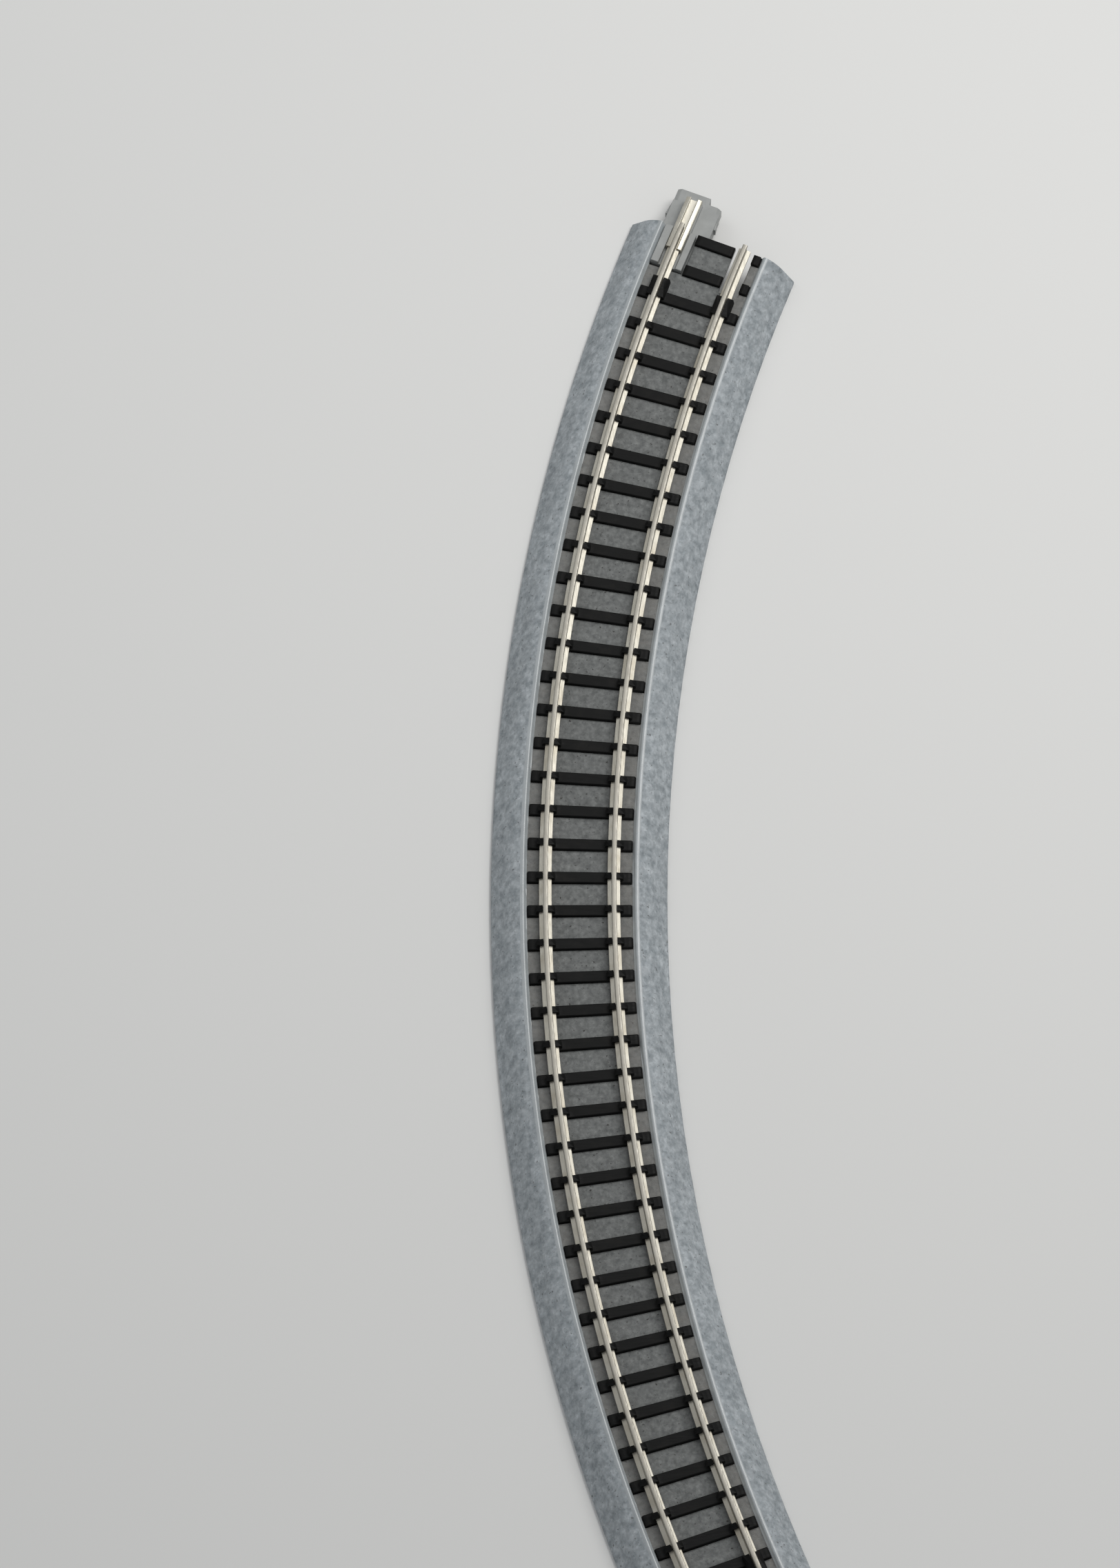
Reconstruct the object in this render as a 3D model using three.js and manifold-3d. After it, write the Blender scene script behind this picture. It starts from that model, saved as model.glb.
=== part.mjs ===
// A curved section of 9 mm gauge model railway track on a moulded roadbed, with the plug-in rail
// joiner that each end carries on its left-hand rail.
//
// The frame: +Z up, +Y along the chord, +X towards the centre of the curve. The origin lies on the
// table, under the middle of the centreline. Millimetres.
//
// Every piece that follows the curve is drawn in track coordinates and then bent:
//   n  across the track, positive away from the centre of the curve
//   h  height above the table
//   s  along the centreline, zero in the middle of the section

import * as THREE from "three";
import { mergeVertices } from "three/addons/utils/BufferGeometryUtils.js";
import Module from "manifold-3d";

const wasm = await Module();
wasm.setup();

// ---- Driving dimensions ------------------------------------------------------------------------

// The curve
const RADIUS = 282; // of the centreline
const ARC_DEGREES = 45;
const GAUGE = 9; // between the heads of the rails
const BEND_STEPS = 36; // facets along the whole curve

// Rail: a flat-bottomed section
const RAIL_HEIGHT = 2.03;
const FOOT_WIDTH = 1.8;
const FOOT_EDGE = 0.25;
const FOOT_RISE = 0.2; // from the foot's edge up to the web
const WEB_WIDTH = 0.5;
const HEAD_WIDTH = 0.7;
const HEAD_HEIGHT = 0.53;
const HEAD_CHAMFER = 0.08;
const RAIL_SEAT_GAP = 0.05; // between a tie's top and the rail's foot

// Ties and the clips that hold the rails
const TIE_LENGTH = 14.7;
const TIE_WIDTH = 1.6;
const TIE_PITCH = 5.1; // aimed at: a whole number of ties shares out the length
const TIE_TOP = 4.92;
const TIE_CHAMFER = 0.12;
const CLIP_LENGTH = 0.9; // of a rail clip, along the rail
const CLIP_THICKNESS = 0.42; // outside the edge of the foot
const CLIP_TAPER = 0.7; // of that thickness, left at the hook
const CLIP_HOOK = 0.28; // height of the hook over the foot
const CLIP_GAP = 0.06; // to the rail
const STOP_LENGTH = 3; // of the long clip that a joiner slides up to
const STRINGER_WIDTH = 1.6;
const STRINGER_BOTTOM = 2.3;
const STRINGER_TOP = 3;
const SLOT_GAP = 0.1; // between a tie and its slot in the roadbed
const TONGUE_WIDTH = 1; // of the bar between the two sockets of an end
const TONGUE_BOTTOM = 0.5;
const EDGE_BAR_WIDTH = 0.55; // of the bar that carries the stubs of the end ties
const EDGE_BAR_INSET = 0.6; // from the lip's foot to that bar, inside the shoulder
const EDGE_BAR_HEIGHT = 0.6;
const DECK_SKIN = 0.3; // left between a socket and the end ties above it
const OPEN_TIES = 2; // ties at each end that hold no rail, so that a joiner can slide on
const LADDER_SETBACK = 0.05; // of the ladder's ends from the ends of the track

// Roadbed
const ROADBED_WIDTH = 25;
const SHOULDER_TOP = 5.2;
const SHOULDER_FLAT = 0.4;
const LIP_SETBACK = 0.15; // from a tie's end to the foot of the shoulder's inner lip
const LIP_SLOPE = 0.3;
const SLOPE_BEND_RUN = 1.8; // from the shoulder's flat to the bend in its slope
const SLOPE_BEND_HEIGHT = 4.15;
const BALLAST_TOP = 4.45;
const BASE_EDGE = 0.6; // upright band at the foot of the slope
const WALL = 1.2;
const DECK = 1.25;
const RIB_WIDTH = 1.2;
const RIB_TIES = 3; // ties from one cross rib to the next

// Joiner: the plastic housing and the metal clip, measured from its own rail and the track's end
const JOINER_INSIDE = 6.4;
const JOINER_OUTSIDE = 6.6;
const HOUSING_TO_CENTRE = 3.95; // from the rail towards the middle of the track
const HOUSING_TO_EDGE = 3.15; // from the rail towards the edge of the roadbed
const HOUSING_BOTTOM = 0.8;
const HOUSING_TOP = 3.75; // of the low part, which goes under the ties
const HOUSING_STEP = 1; // by which the inner corner of the tip is shorter
const STEP_WIDTH = 2;
const TIP_CHAMFER = 0.6;
const SEAT_CLEARANCE = 0.1; // beside the metal clip, in the groove that holds it
const INNER_WALL_WIDTH = 0.95; // of the raised walls beside that groove
const OUTER_WALL_WIDTH = 1.15;
const INNER_WALL_TOP = 5;
const OUTER_WALL_TOP = 5.3;
const WALL_SETBACK = 0.15; // of those walls from the track's end
const METAL = 0.22;
const METAL_INSIDE = 3.6;
const METAL_OUTSIDE = 4.9;
const METAL_LIP = 0.45; // by which the clip reaches in over the foot
const METAL_GAP = 0.08; // from the clip to the rail
const BARB_LENGTH = 2;
const BARB_DEPTH = 0.35;
const BARB_ROOT = 0.2; // of a barb inside its housing
const BARB_HEIGHT = 1.6;
const BARB_PLACE = 2.2; // from the track's end to the catch
const SOCKET_GAP = 0.25; // between a housing and the socket it slides into, at the sides
const ROOF_GAP = 0.15; // and above
const SEAT_GAP = 0.15; // beside the clip's pedestal, where it passes under a bare rail
const SOCKET_DEPTH = 7.5;

// Solids that are joined or cut run into one another by this much
const OVERRUN = 1;

// ---- Values that follow from them --------------------------------------------------------------

const halfAngle = THREE.MathUtils.degToRad(ARC_DEGREES / 2);
const trackEnd = RADIUS * halfAngle;
const railCentre = (GAUGE + HEAD_WIDTH) / 2;
const railFoot = TIE_TOP + RAIL_SEAT_GAP;
const footTop = railFoot + FOOT_EDGE;
const webFoot = footTop + FOOT_RISE;

const tieCount = Math.round((2 * trackEnd - TIE_WIDTH) / TIE_PITCH) + 1;
const tiePitch = (2 * trackEnd - TIE_WIDTH) / (tieCount - 1);
const tiePlaces = [];
for (let i = 0; i < tieCount; i += 1) {
  tiePlaces.push(-trackEnd + TIE_WIDTH / 2 + i * tiePitch);
}
const firstHeld = tiePlaces[tieCount - 1 - OPEN_TIES]; // the tie nearest an end that holds rail

const bedHalf = TIE_LENGTH / 2 + LIP_SETBACK;
const lipHalf = bedHalf + LIP_SLOPE;
const crownHalf = lipHalf + SHOULDER_FLAT;
const baseHalf = ROADBED_WIDTH / 2;
const bendHalf = crownHalf + SLOPE_BEND_RUN;
const slopeRun = (baseHalf - crownHalf) / (SHOULDER_TOP - BASE_EDGE);
const wallRun = WALL * Math.hypot(1, slopeRun); // the wall's thickness measured level

const socketRoof = HOUSING_TOP + ROOF_GAP;
const socketOuter = railCentre + HOUSING_TO_EDGE + SOCKET_GAP;
const socketWall = trackEnd - SOCKET_DEPTH;
const cavityEnd = socketWall - WALL;
const metalHalf = FOOT_WIDTH / 2 + METAL_GAP + METAL;
const seatHalf = metalHalf + SEAT_CLEARANCE;
const wallToCentre = seatHalf + INNER_WALL_WIDTH;
const wallToEdge = seatHalf + OUTER_WALL_WIDTH;
const metalBottom = railFoot - METAL_GAP - METAL;
const seatTop = metalBottom - CLIP_GAP;
const slotHalf = seatHalf + SEAT_GAP; // of the slot under a bare rail's end

// ---- Solids ------------------------------------------------------------------------------------

function shapeOf(points) {
  return new THREE.Shape(points.map(([x, y]) => new THREE.Vector2(x, y)));
}

// Track coordinates to the row's frame.
function bend(geometry) {
  const place = geometry.getAttribute("position");
  for (let i = 0; i < place.count; i += 1) {
    const reach = RADIUS + place.getX(i);
    const turn = place.getZ(i) / RADIUS;
    const height = place.getY(i);
    place.setXYZ(i, RADIUS - reach * Math.cos(turn), reach * Math.sin(turn), height);
  }
  return geometry;
}

// Joiner coordinates, v to the left of the rail and u outwards along it, to the joiner's own frame.
function lay(geometry) {
  const place = geometry.getAttribute("position");
  for (let i = 0; i < place.count; i += 1) {
    place.setXYZ(i, -place.getX(i), place.getZ(i), place.getY(i));
  }
  return geometry;
}

function extrusion(points, from, to, steps) {
  const settings = { depth: to - from, steps, bevelEnabled: false };
  return new THREE.ExtrudeGeometry(shapeOf(points), settings).translate(0, 0, from);
}

function solidOf(geometry) {
  const bare = geometry.index ? geometry.toNonIndexed() : geometry.clone();
  bare.deleteAttribute("normal");
  bare.deleteAttribute("uv");
  const merged = mergeVertices(bare, 1e-4);
  const mesh = new wasm.Mesh({
    numProp: 3,
    vertProperties: merged.attributes.position.array,
    triVerts: new Uint32Array(merged.index.array),
  });
  return new wasm.Manifold(mesh);
}

function geometryOf(solid) {
  const mesh = solid.getMesh();
  const geometry = new THREE.BufferGeometry();
  geometry.setAttribute("position", new THREE.BufferAttribute(mesh.vertProperties, 3));
  geometry.setIndex(new THREE.BufferAttribute(mesh.triVerts, 1));
  geometry.computeVertexNormals();
  return geometry;
}

function joined(solids) {
  return solids.reduce((whole, solid) => whole.add(solid));
}

function without(solid, cuts) {
  return solid.subtract(joined(cuts));
}

const rectangle = (low, high, bottom, top) => [
  [low, bottom],
  [high, bottom],
  [high, top],
  [low, top],
];

// A profile in n and h, swept along the curve from one place to another.
function swept(points, from, to, steps = 1) {
  return solidOf(bend(extrusion(points, from, to, steps)));
}

// The same along the whole curve or most of it, with enough steps to follow it.
function sweptLong(points, from, to) {
  const steps = Math.max(1, Math.round((BEND_STEPS * (to - from)) / (2 * trackEnd)));
  return swept(points, from, to, steps);
}

function block([low, high], [bottom, top], [from, to]) {
  return swept(rectangle(low, high, bottom, top), from, to);
}

// A straight block of a joiner.
function straight(points, from, to) {
  return solidOf(lay(extrusion(points, from, to, 1)));
}

// Both ends of the section. Each end's joiner is on the rail to the left of someone who looks out
// over it, so the far end (side = 1) has it on the outer rail and the near end (side = -1) has it
// on the inner rail. In an end's own coordinates, joinerSide > 0 is towards the joiner's rail.
const ENDS = [
  { name: "far", side: 1 },
  { name: "near", side: -1 },
];

// A block placed in an end's own terms: from the middle towards the joiner's rail, and inwards
// from the end of the track.
function endBlock(end, [low, high], heights, [inner, outer]) {
  const across = [low, high].map((value) => value * end.side).sort((a, b) => a - b);
  const along = [inner, outer].map((value) => value * end.side).sort((a, b) => a - b);
  return block(across, heights, along);
}

// ---- Rails -------------------------------------------------------------------------------------

function railProfile(centre) {
  const foot = FOOT_WIDTH / 2;
  const web = WEB_WIDTH / 2;
  const head = HEAD_WIDTH / 2;
  const top = railFoot + RAIL_HEIGHT;
  const half = [
    [foot, railFoot],
    [foot, footTop],
    [web, webFoot],
    [web, top - HEAD_HEIGHT],
    [head, top - HEAD_HEIGHT + HEAD_CHAMFER],
    [head, top - HEAD_CHAMFER],
    [head - HEAD_CHAMFER, top],
  ];
  const other = half.map(([x, y]) => [-x, y]).reverse();
  return [...half, ...other].map(([x, y]) => [x + centre, y]);
}

const makeRail = (centre) => sweptLong(railProfile(centre), -trackEnd, trackEnd);

// ---- The tie ladder ----------------------------------------------------------------------------

function tieProfile(low, high, bottom) {
  return [
    [low, bottom],
    [high, bottom],
    [high, TIE_TOP - TIE_CHAMFER],
    [high - TIE_CHAMFER, TIE_TOP],
    [low + TIE_CHAMFER, TIE_TOP],
    [low, TIE_TOP - TIE_CHAMFER],
  ];
}

const tieSpan = (place) => [place - TIE_WIDTH / 2, place + TIE_WIDTH / 2];

// The clips on both sides of a rail: upright beside the foot, hooked in over it.
function railClips(centre, from, to) {
  const out = FOOT_WIDTH / 2 + CLIP_GAP;
  const under = footTop + FOOT_RISE + CLIP_GAP;
  const profile = [
    [out, TIE_TOP - TIE_CHAMFER],
    [out + CLIP_THICKNESS, TIE_TOP - TIE_CHAMFER],
    [out + CLIP_THICKNESS * CLIP_TAPER, under + CLIP_HOOK / 2],
    [WEB_WIDTH / 2 + 2 * CLIP_GAP, under + CLIP_HOOK],
    [WEB_WIDTH / 2 + 2 * CLIP_GAP, under],
    [out, footTop + CLIP_GAP],
  ];
  return [1, -1].map((hand) => {
    const points = profile.map(([x, y]) => [centre + hand * x, y]);
    return swept(hand > 0 ? points : points.reverse(), from, to);
  });
}

// What the ladder fills, grown by a clearance: the ladder itself has none, and the room that the
// roadbed leaves for it has SLOT_GAP.
function ladderBlocks(gap) {
  const grown = ([low, high]) => [low - gap, high + gap];
  const blocks = [];
  const half = TIE_LENGTH / 2;
  tiePlaces.slice(OPEN_TIES, tieCount - OPEN_TIES).forEach((place) => {
    const [from, to] = grown(tieSpan(place));
    if (gap > 0) {
      blocks.push(block(grown([-half, half]), [STRINGER_BOTTOM, SHOULDER_TOP + OVERRUN], [from, to]));
    } else {
      blocks.push(swept(tieProfile(-half, half, STRINGER_BOTTOM), from, to));
    }
  });
  [railCentre, -railCentre].forEach((centre) => {
    const width = grown([centre - STRINGER_WIDTH / 2, centre + STRINGER_WIDTH / 2]);
    const profile = rectangle(...width, ...grown([STRINGER_BOTTOM, STRINGER_TOP]));
    blocks.push(sweptLong(profile, -firstHeld - gap, firstHeld + gap));
  });
  ENDS.forEach((end) => blocks.push(...endLadder(end, grown, gap)));
  return blocks;
}

// The part of the ladder at one end: a tongue between the sockets carries the ties that hold no
// rail. They stop short of the joiner, and are open under the bare rail, and a bar hidden in the
// shoulder carries the stubs beyond that rail.
function endLadder(end, grown, gap) {
  const blocks = [];
  const tongue = [-TONGUE_WIDTH / 2, TONGUE_WIDTH / 2];
  const tongueTop = socketRoof - CLIP_GAP;
  const tongueEnd = trackEnd + (gap > 0 ? OVERRUN : -LADDER_SETBACK);
  blocks.push(endBlock(end, grown(tongue), [TONGUE_BOTTOM - gap, tongueTop], [firstHeld, tongueEnd]));
  const barInner = bedHalf + EDGE_BAR_INSET;
  const barOuter = barInner + EDGE_BAR_WIDTH;
  const barBottom = socketRoof + CLIP_GAP;
  const barTop = barBottom + EDGE_BAR_HEIGHT;
  const bar = grown([-barOuter, -barInner]);
  blocks.push(endBlock(end, bar, grown([barBottom, barTop]), [firstHeld - gap, tongueEnd]));
  const tieBottom = socketRoof + DECK_SKIN + SLOT_GAP;
  const tieTop = gap > 0 ? SHOULDER_TOP + OVERRUN : TIE_TOP;
  const root = grown([-barOuter, -TIE_LENGTH / 2 + TIE_CHAMFER]);
  for (let i = 0; i <= OPEN_TIES; i += 1) {
    const [from, to] = grown(tieSpan(tiePlaces[tieCount - 1 - i]));
    const span = [from, Math.min(to, tongueEnd)];
    blocks.push(endBlock(end, root, grown([tieBottom, barTop]), span));
    if (i < OPEN_TIES) {
      const stub = grown([-TIE_LENGTH / 2, -railCentre - slotHalf - gap]);
      const middle = [-railCentre + slotHalf, railCentre - wallToCentre - SOCKET_GAP];
      blocks.push(endBlock(end, stub, [tieBottom - gap, tieTop], span));
      blocks.push(endBlock(end, middle, [tieBottom - gap, tieTop], span));
      blocks.push(endBlock(end, grown(tongue), [tongueTop - EDGE_BAR_HEIGHT, tieTop], span));
    }
  }
  return blocks;
}

function makeLadder() {
  const pieces = ladderBlocks(0);
  const held = tiePlaces.slice(OPEN_TIES, tieCount - OPEN_TIES);
  [railCentre, -railCentre].forEach((centre) => {
    held.slice(1, -1).forEach((place) => {
      pieces.push(...railClips(centre, place - CLIP_LENGTH / 2, place + CLIP_LENGTH / 2));
    });
    ENDS.forEach(({ side }) => {
      const inner = side * (firstHeld - CLIP_LENGTH / 2);
      const outer = side * (firstHeld - CLIP_LENGTH / 2 + STOP_LENGTH);
      const span = [inner, outer].sort((a, b) => a - b);
      const edge = FOOT_WIDTH / 2 + CLIP_GAP + CLIP_THICKNESS;
      pieces.push(...railClips(centre, ...span));
      pieces.push(block([centre - edge, centre + edge], [BALLAST_TOP + CLIP_GAP, TIE_TOP], span));
    });
  });
  return joined(pieces);
}

// ---- The roadbed -------------------------------------------------------------------------------

function roadbedProfile() {
  return [
    [-baseHalf, 0],
    [baseHalf, 0],
    [baseHalf, BASE_EDGE],
    [bendHalf, SLOPE_BEND_HEIGHT],
    [crownHalf, SHOULDER_TOP],
    [lipHalf, SHOULDER_TOP],
    [bedHalf, BALLAST_TOP],
    [-bedHalf, BALLAST_TOP],
    [-lipHalf, SHOULDER_TOP],
    [-crownHalf, SHOULDER_TOP],
    [-bendHalf, SLOPE_BEND_HEIGHT],
    [-baseHalf, BASE_EDGE],
  ];
}

function cavityProfile() {
  const low = baseHalf - wallRun;
  const roof = BALLAST_TOP - DECK;
  const high = low - (roof - BASE_EDGE) * slopeRun;
  return [
    [-low, -OVERRUN],
    [low, -OVERRUN],
    [low, BASE_EDGE],
    [high, roof],
    [-high, roof],
    [-low, BASE_EDGE],
  ];
}

function makeRibs() {
  const roof = BALLAST_TOP - DECK / 2;
  const reach = baseHalf - wallRun / 2;
  const spine = rectangle(-RIB_WIDTH / 2, RIB_WIDTH / 2, 0, roof);
  const spineEnd = firstHeld - tiePitch / 2;
  const ribs = [sweptLong(spine, -spineEnd, spineEnd)];
  const spacing = RIB_TIES * tiePitch;
  const pairs = Math.floor((cavityEnd - spacing / 2) / spacing);
  for (let i = -pairs; i <= pairs; i += 1) {
    const from = i * spacing - RIB_WIDTH / 2;
    ribs.push(block([-reach, reach], [0, roof], [from, from + RIB_WIDTH]));
  }
  const outside = sweptLong(roadbedProfile(), -trackEnd, trackEnd);
  return joined(ribs).intersect(outside);
}

// The two sockets of an end are one space below the deck, divided by the ladder's tongue. The
// joiner's own half is open above, and the other is a slot under the bare rail.
function socketCuts(end) {
  const past = trackEnd + OVERRUN;
  const inner = railCentre - wallToCentre - SOCKET_GAP;
  const outer = railCentre + wallToEdge + SEAT_GAP;
  const ownDepth = trackEnd - JOINER_INSIDE - SOCKET_GAP;
  const catchPlace = trackEnd - BARB_PLACE - BARB_LENGTH;
  const catchHigh = HOUSING_TOP - BARB_DEPTH;
  const catchSpan = [catchPlace - SOCKET_GAP, trackEnd - BARB_PLACE + SOCKET_GAP];
  return [
    endBlock(end, [-socketOuter, socketOuter], [-OVERRUN, socketRoof], [socketWall, past]),
    endBlock(end, [inner, outer], [HOUSING_BOTTOM, SHOULDER_TOP + OVERRUN], [ownDepth, past]),
    endBlock(
      end,
      [-railCentre - slotHalf, -railCentre + slotHalf],
      [HOUSING_BOTTOM, SHOULDER_TOP + OVERRUN],
      [socketWall, past],
    ),
    endBlock(
      end,
      [-socketOuter - BARB_DEPTH, -socketOuter + OVERRUN],
      [catchHigh - BARB_HEIGHT - SOCKET_GAP, catchHigh + SOCKET_GAP],
      catchSpan,
    ),
  ];
}

function makeRoadbed() {
  const body = sweptLong(roadbedProfile(), -trackEnd, trackEnd);
  const hollow = sweptLong(cavityProfile(), -cavityEnd, cavityEnd);
  const shell = body.subtract(hollow).add(makeRibs());
  return without(shell, [...ENDS.flatMap(socketCuts), ...ladderBlocks(SLOT_GAP)]);
}

// ---- Joiners -----------------------------------------------------------------------------------

function barb(face, direction) {
  const top = HOUSING_TOP - BARB_DEPTH;
  const shape = [
    [face - direction * BARB_ROOT, BARB_PLACE],
    [face + direction * BARB_DEPTH, BARB_PLACE],
    [face, BARB_PLACE + BARB_LENGTH],
    [face - direction * BARB_ROOT, BARB_PLACE + BARB_LENGTH],
  ].map(([v, u]) => [-v, u]);
  const points = direction > 0 ? shape.reverse() : shape;
  const settings = { depth: BARB_HEIGHT, steps: 1, bevelEnabled: false };
  const geometry = new THREE.ExtrudeGeometry(shapeOf(points), settings);
  return solidOf(geometry.translate(0, 0, top - BARB_HEIGHT));
}

function makeHousing() {
  const [low, high] = [-HOUSING_TO_CENTRE, HOUSING_TO_EDGE];
  const base = rectangle(low, high, HOUSING_BOTTOM, HOUSING_TOP);
  const tip = [
    [low, HOUSING_BOTTOM + TIP_CHAMFER],
    [low + TIP_CHAMFER, HOUSING_BOTTOM],
    [high - TIP_CHAMFER, HOUSING_BOTTOM],
    [high, HOUSING_BOTTOM + TIP_CHAMFER],
    [high, HOUSING_TOP - TIP_CHAMFER],
    [high - TIP_CHAMFER, HOUSING_TOP],
    [low + TIP_CHAMFER, HOUSING_TOP],
    [low, HOUSING_TOP - TIP_CHAMFER],
  ];
  const shortEnd = JOINER_OUTSIDE - HOUSING_STEP;
  const pieces = [
    straight(base, -JOINER_INSIDE, shortEnd - HOUSING_STEP),
    straight(tip, shortEnd - HOUSING_STEP, JOINER_OUTSIDE),
    straight(
      rectangle(-seatHalf, seatHalf, HOUSING_TOP - OVERRUN, seatTop),
      -JOINER_INSIDE,
      METAL_OUTSIDE,
    ),
    straight(
      rectangle(-wallToCentre, -seatHalf, HOUSING_TOP - OVERRUN, INNER_WALL_TOP),
      -JOINER_INSIDE,
      -WALL_SETBACK,
    ),
    straight(
      rectangle(seatHalf, wallToEdge, HOUSING_TOP - OVERRUN, OUTER_WALL_TOP),
      -JOINER_INSIDE,
      -WALL_SETBACK,
    ),
    barb(low, -1),
    barb(high, 1),
  ];
  const corner = rectangle(
    low - OVERRUN,
    low + STEP_WIDTH,
    HOUSING_BOTTOM - OVERRUN,
    HOUSING_TOP + OVERRUN,
  );
  const hollowHalf = (high - low) / 2 - WALL;
  const middle = (low + high) / 2;
  const hollow = rectangle(
    middle - hollowHalf,
    middle + hollowHalf,
    HOUSING_BOTTOM - OVERRUN,
    HOUSING_TOP - WALL,
  );
  return without(joined(pieces), [
    straight(corner, shortEnd, JOINER_OUTSIDE + OVERRUN),
    straight(hollow, WALL - JOINER_INSIDE, -WALL / 2),
    straight(hollow, WALL / 2, shortEnd - WALL),
  ]);
}

// The metal clip: a channel whose edges fold in over the foot of the rail.
function makeClip() {
  const out = metalHalf;
  const inside = metalHalf - METAL;
  const lip = FOOT_WIDTH / 2 - METAL_LIP;
  const floor = metalBottom + METAL;
  const under = webFoot + METAL_GAP;
  const half = [
    [out, metalBottom],
    [out, under],
    [lip + METAL / 2, under + METAL],
    [lip, under],
    [inside, under - METAL],
    [inside, floor],
  ];
  const other = half.map(([x, y]) => [-x, y]).reverse();
  return straight([...half, ...other], -METAL_INSIDE, METAL_OUTSIDE);
}

// ---- Materials and assembly --------------------------------------------------------------------

const MATERIALS = {
  roadbed: { color: 0x8f989c, roughness: 0.85, metalness: 0 },
  ties: { color: 0x2a2522, roughness: 0.7, metalness: 0 },
  rail: { color: 0xcac6b8, roughness: 0.3, metalness: 1 },
  housing: { color: 0x8d9092, roughness: 0.6, metalness: 0 },
  clip: { color: 0xd9d4c4, roughness: 0.35, metalness: 1 },
};

function meshOf(name, solid, material) {
  const mesh = new THREE.Mesh(
    geometryOf(solid),
    new THREE.MeshStandardMaterial(MATERIALS[material]),
  );
  mesh.name = name;
  return mesh;
}

// A joiner sits at the end of the rail to the left of someone looking out over that end.
function placeJoiner(end) {
  const group = new THREE.Group();
  const reach = RADIUS + end.side * railCentre;
  const turn = end.side * halfAngle;
  group.position.set(RADIUS - reach * Math.cos(turn), reach * Math.sin(turn), 0);
  group.rotation.z = end.side > 0 ? -turn : Math.PI - turn;
  group.add(
    meshOf(`${end.name}_joiner_housing`, makeHousing(), "housing"),
    meshOf(`${end.name}_joiner_clip`, makeClip(), "clip"),
  );
  return group;
}

const track = new THREE.Group();
track.add(
  meshOf("roadbed", makeRoadbed(), "roadbed"),
  meshOf("tie_ladder", makeLadder(), "ties"),
  meshOf("outer_rail", makeRail(railCentre), "rail"),
  meshOf("inner_rail", makeRail(-railCentre), "rail"),
  ...ENDS.map(placeJoiner),
);

export default track;
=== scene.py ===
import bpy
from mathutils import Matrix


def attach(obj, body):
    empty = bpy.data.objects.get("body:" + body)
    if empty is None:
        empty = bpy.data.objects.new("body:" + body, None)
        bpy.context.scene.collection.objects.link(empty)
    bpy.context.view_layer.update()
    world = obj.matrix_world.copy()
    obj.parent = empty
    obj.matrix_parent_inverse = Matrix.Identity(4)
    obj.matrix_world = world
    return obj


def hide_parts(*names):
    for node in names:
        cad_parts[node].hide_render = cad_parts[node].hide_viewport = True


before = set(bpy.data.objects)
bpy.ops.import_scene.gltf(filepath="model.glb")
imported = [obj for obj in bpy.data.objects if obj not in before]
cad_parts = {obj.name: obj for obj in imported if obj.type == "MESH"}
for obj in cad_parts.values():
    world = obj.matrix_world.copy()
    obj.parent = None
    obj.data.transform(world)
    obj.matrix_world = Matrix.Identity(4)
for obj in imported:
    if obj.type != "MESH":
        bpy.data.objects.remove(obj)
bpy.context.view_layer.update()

import math

import bmesh
import bpy
import numpy as np
from mathutils import Matrix, Vector

# A curved section of model railway track. Metres, in the row's frame: +Z up, +Y along the chord,
# +X towards the centre of the curve.
#
# Pieces that follow the curve are made in track coordinates and then bent:
#   n  across the track, positive away from the centre of the curve
#   s  along the centreline, zero in the middle
#   h  height above the table

MM = 0.001

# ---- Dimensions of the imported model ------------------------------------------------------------

RADIUS = 282 * MM
ARC = math.radians(45)
TRACK_END = RADIUS * ARC / 2
RAIL_CENTRE = 4.85 * MM
RAIL_FOOT = 4.97 * MM
RAIL_HEIGHT = 2.03 * MM
TIE_TOP = 4.92 * MM
BED_HALF = 7.5 * MM
LIP_HALF = 7.8 * MM
CROWN_HALF = 8.2 * MM
BEND_HALF = 10 * MM
BEND_HEIGHT = 4.15 * MM
BASE_HALF = 12.5 * MM
BASE_EDGE = 0.6 * MM
SHOULDER_TOP = 5.2 * MM
BALLAST_TOP = 4.45 * MM
CLIP_INSIDE = 3.6 * MM
CLIP_OUTSIDE = 4.9 * MM

# ---- Surface detail ----------------------------------------------------------------------------

GRAIN_STEP = 0.26 * MM  # spacing of the points that carry the moulded ballast grain
STONE = 0.62 * MM  # spacing of the stones
STONE_JITTER = 0.7  # how far a stone's middle wanders, as a share of the spacing
STONE_FALL = 1.35  # how fast a stone falls off round its middle
STONE_LOWEST = 0.45  # height of the lowest stone, where the highest is 1
STONE_LEVEL = 0.35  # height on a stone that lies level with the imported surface
STONE_RELIEF = 0.055 * MM  # on the shoulders
BED_RELIEF = 0.11 * MM  # between the ties
STONE_TABLE = 257  # stones each way before their places repeat

EASING = 0.8 * MM  # reach over which the corners of a shoulder are worn round
EASING_START = 1.2 * MM  # from the lip, where that reach is full
EASING_SAMPLES = 9
LIP_DROP = 0.12 * MM  # how much lower the worn edge of the lip is
LIP_WIDTH = 0.2 * MM  # smooth strip beyond the crown
GRAIN_RISE = 0.5 * MM  # beyond the crown, from no grain to the full grain
GRAIN_END = 0.7 * MM  # from the foot of a shoulder, where the grain starts to fade
GRAIN_GONE = 0.05 * MM  # from the foot of a shoulder, where no grain is left

TIE_STEP = 0.17 * MM  # spacing of the grain's rows across a tie
TIE_STRETCH = 4  # rows are sampled this much more coarsely along the tie
TIE_RELIEF = 0.035 * MM
TIE_TABLE = 4096  # rows before their grain repeats
TIE_WAVES = 4
FULL_TURN = 6.28  # radians

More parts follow.
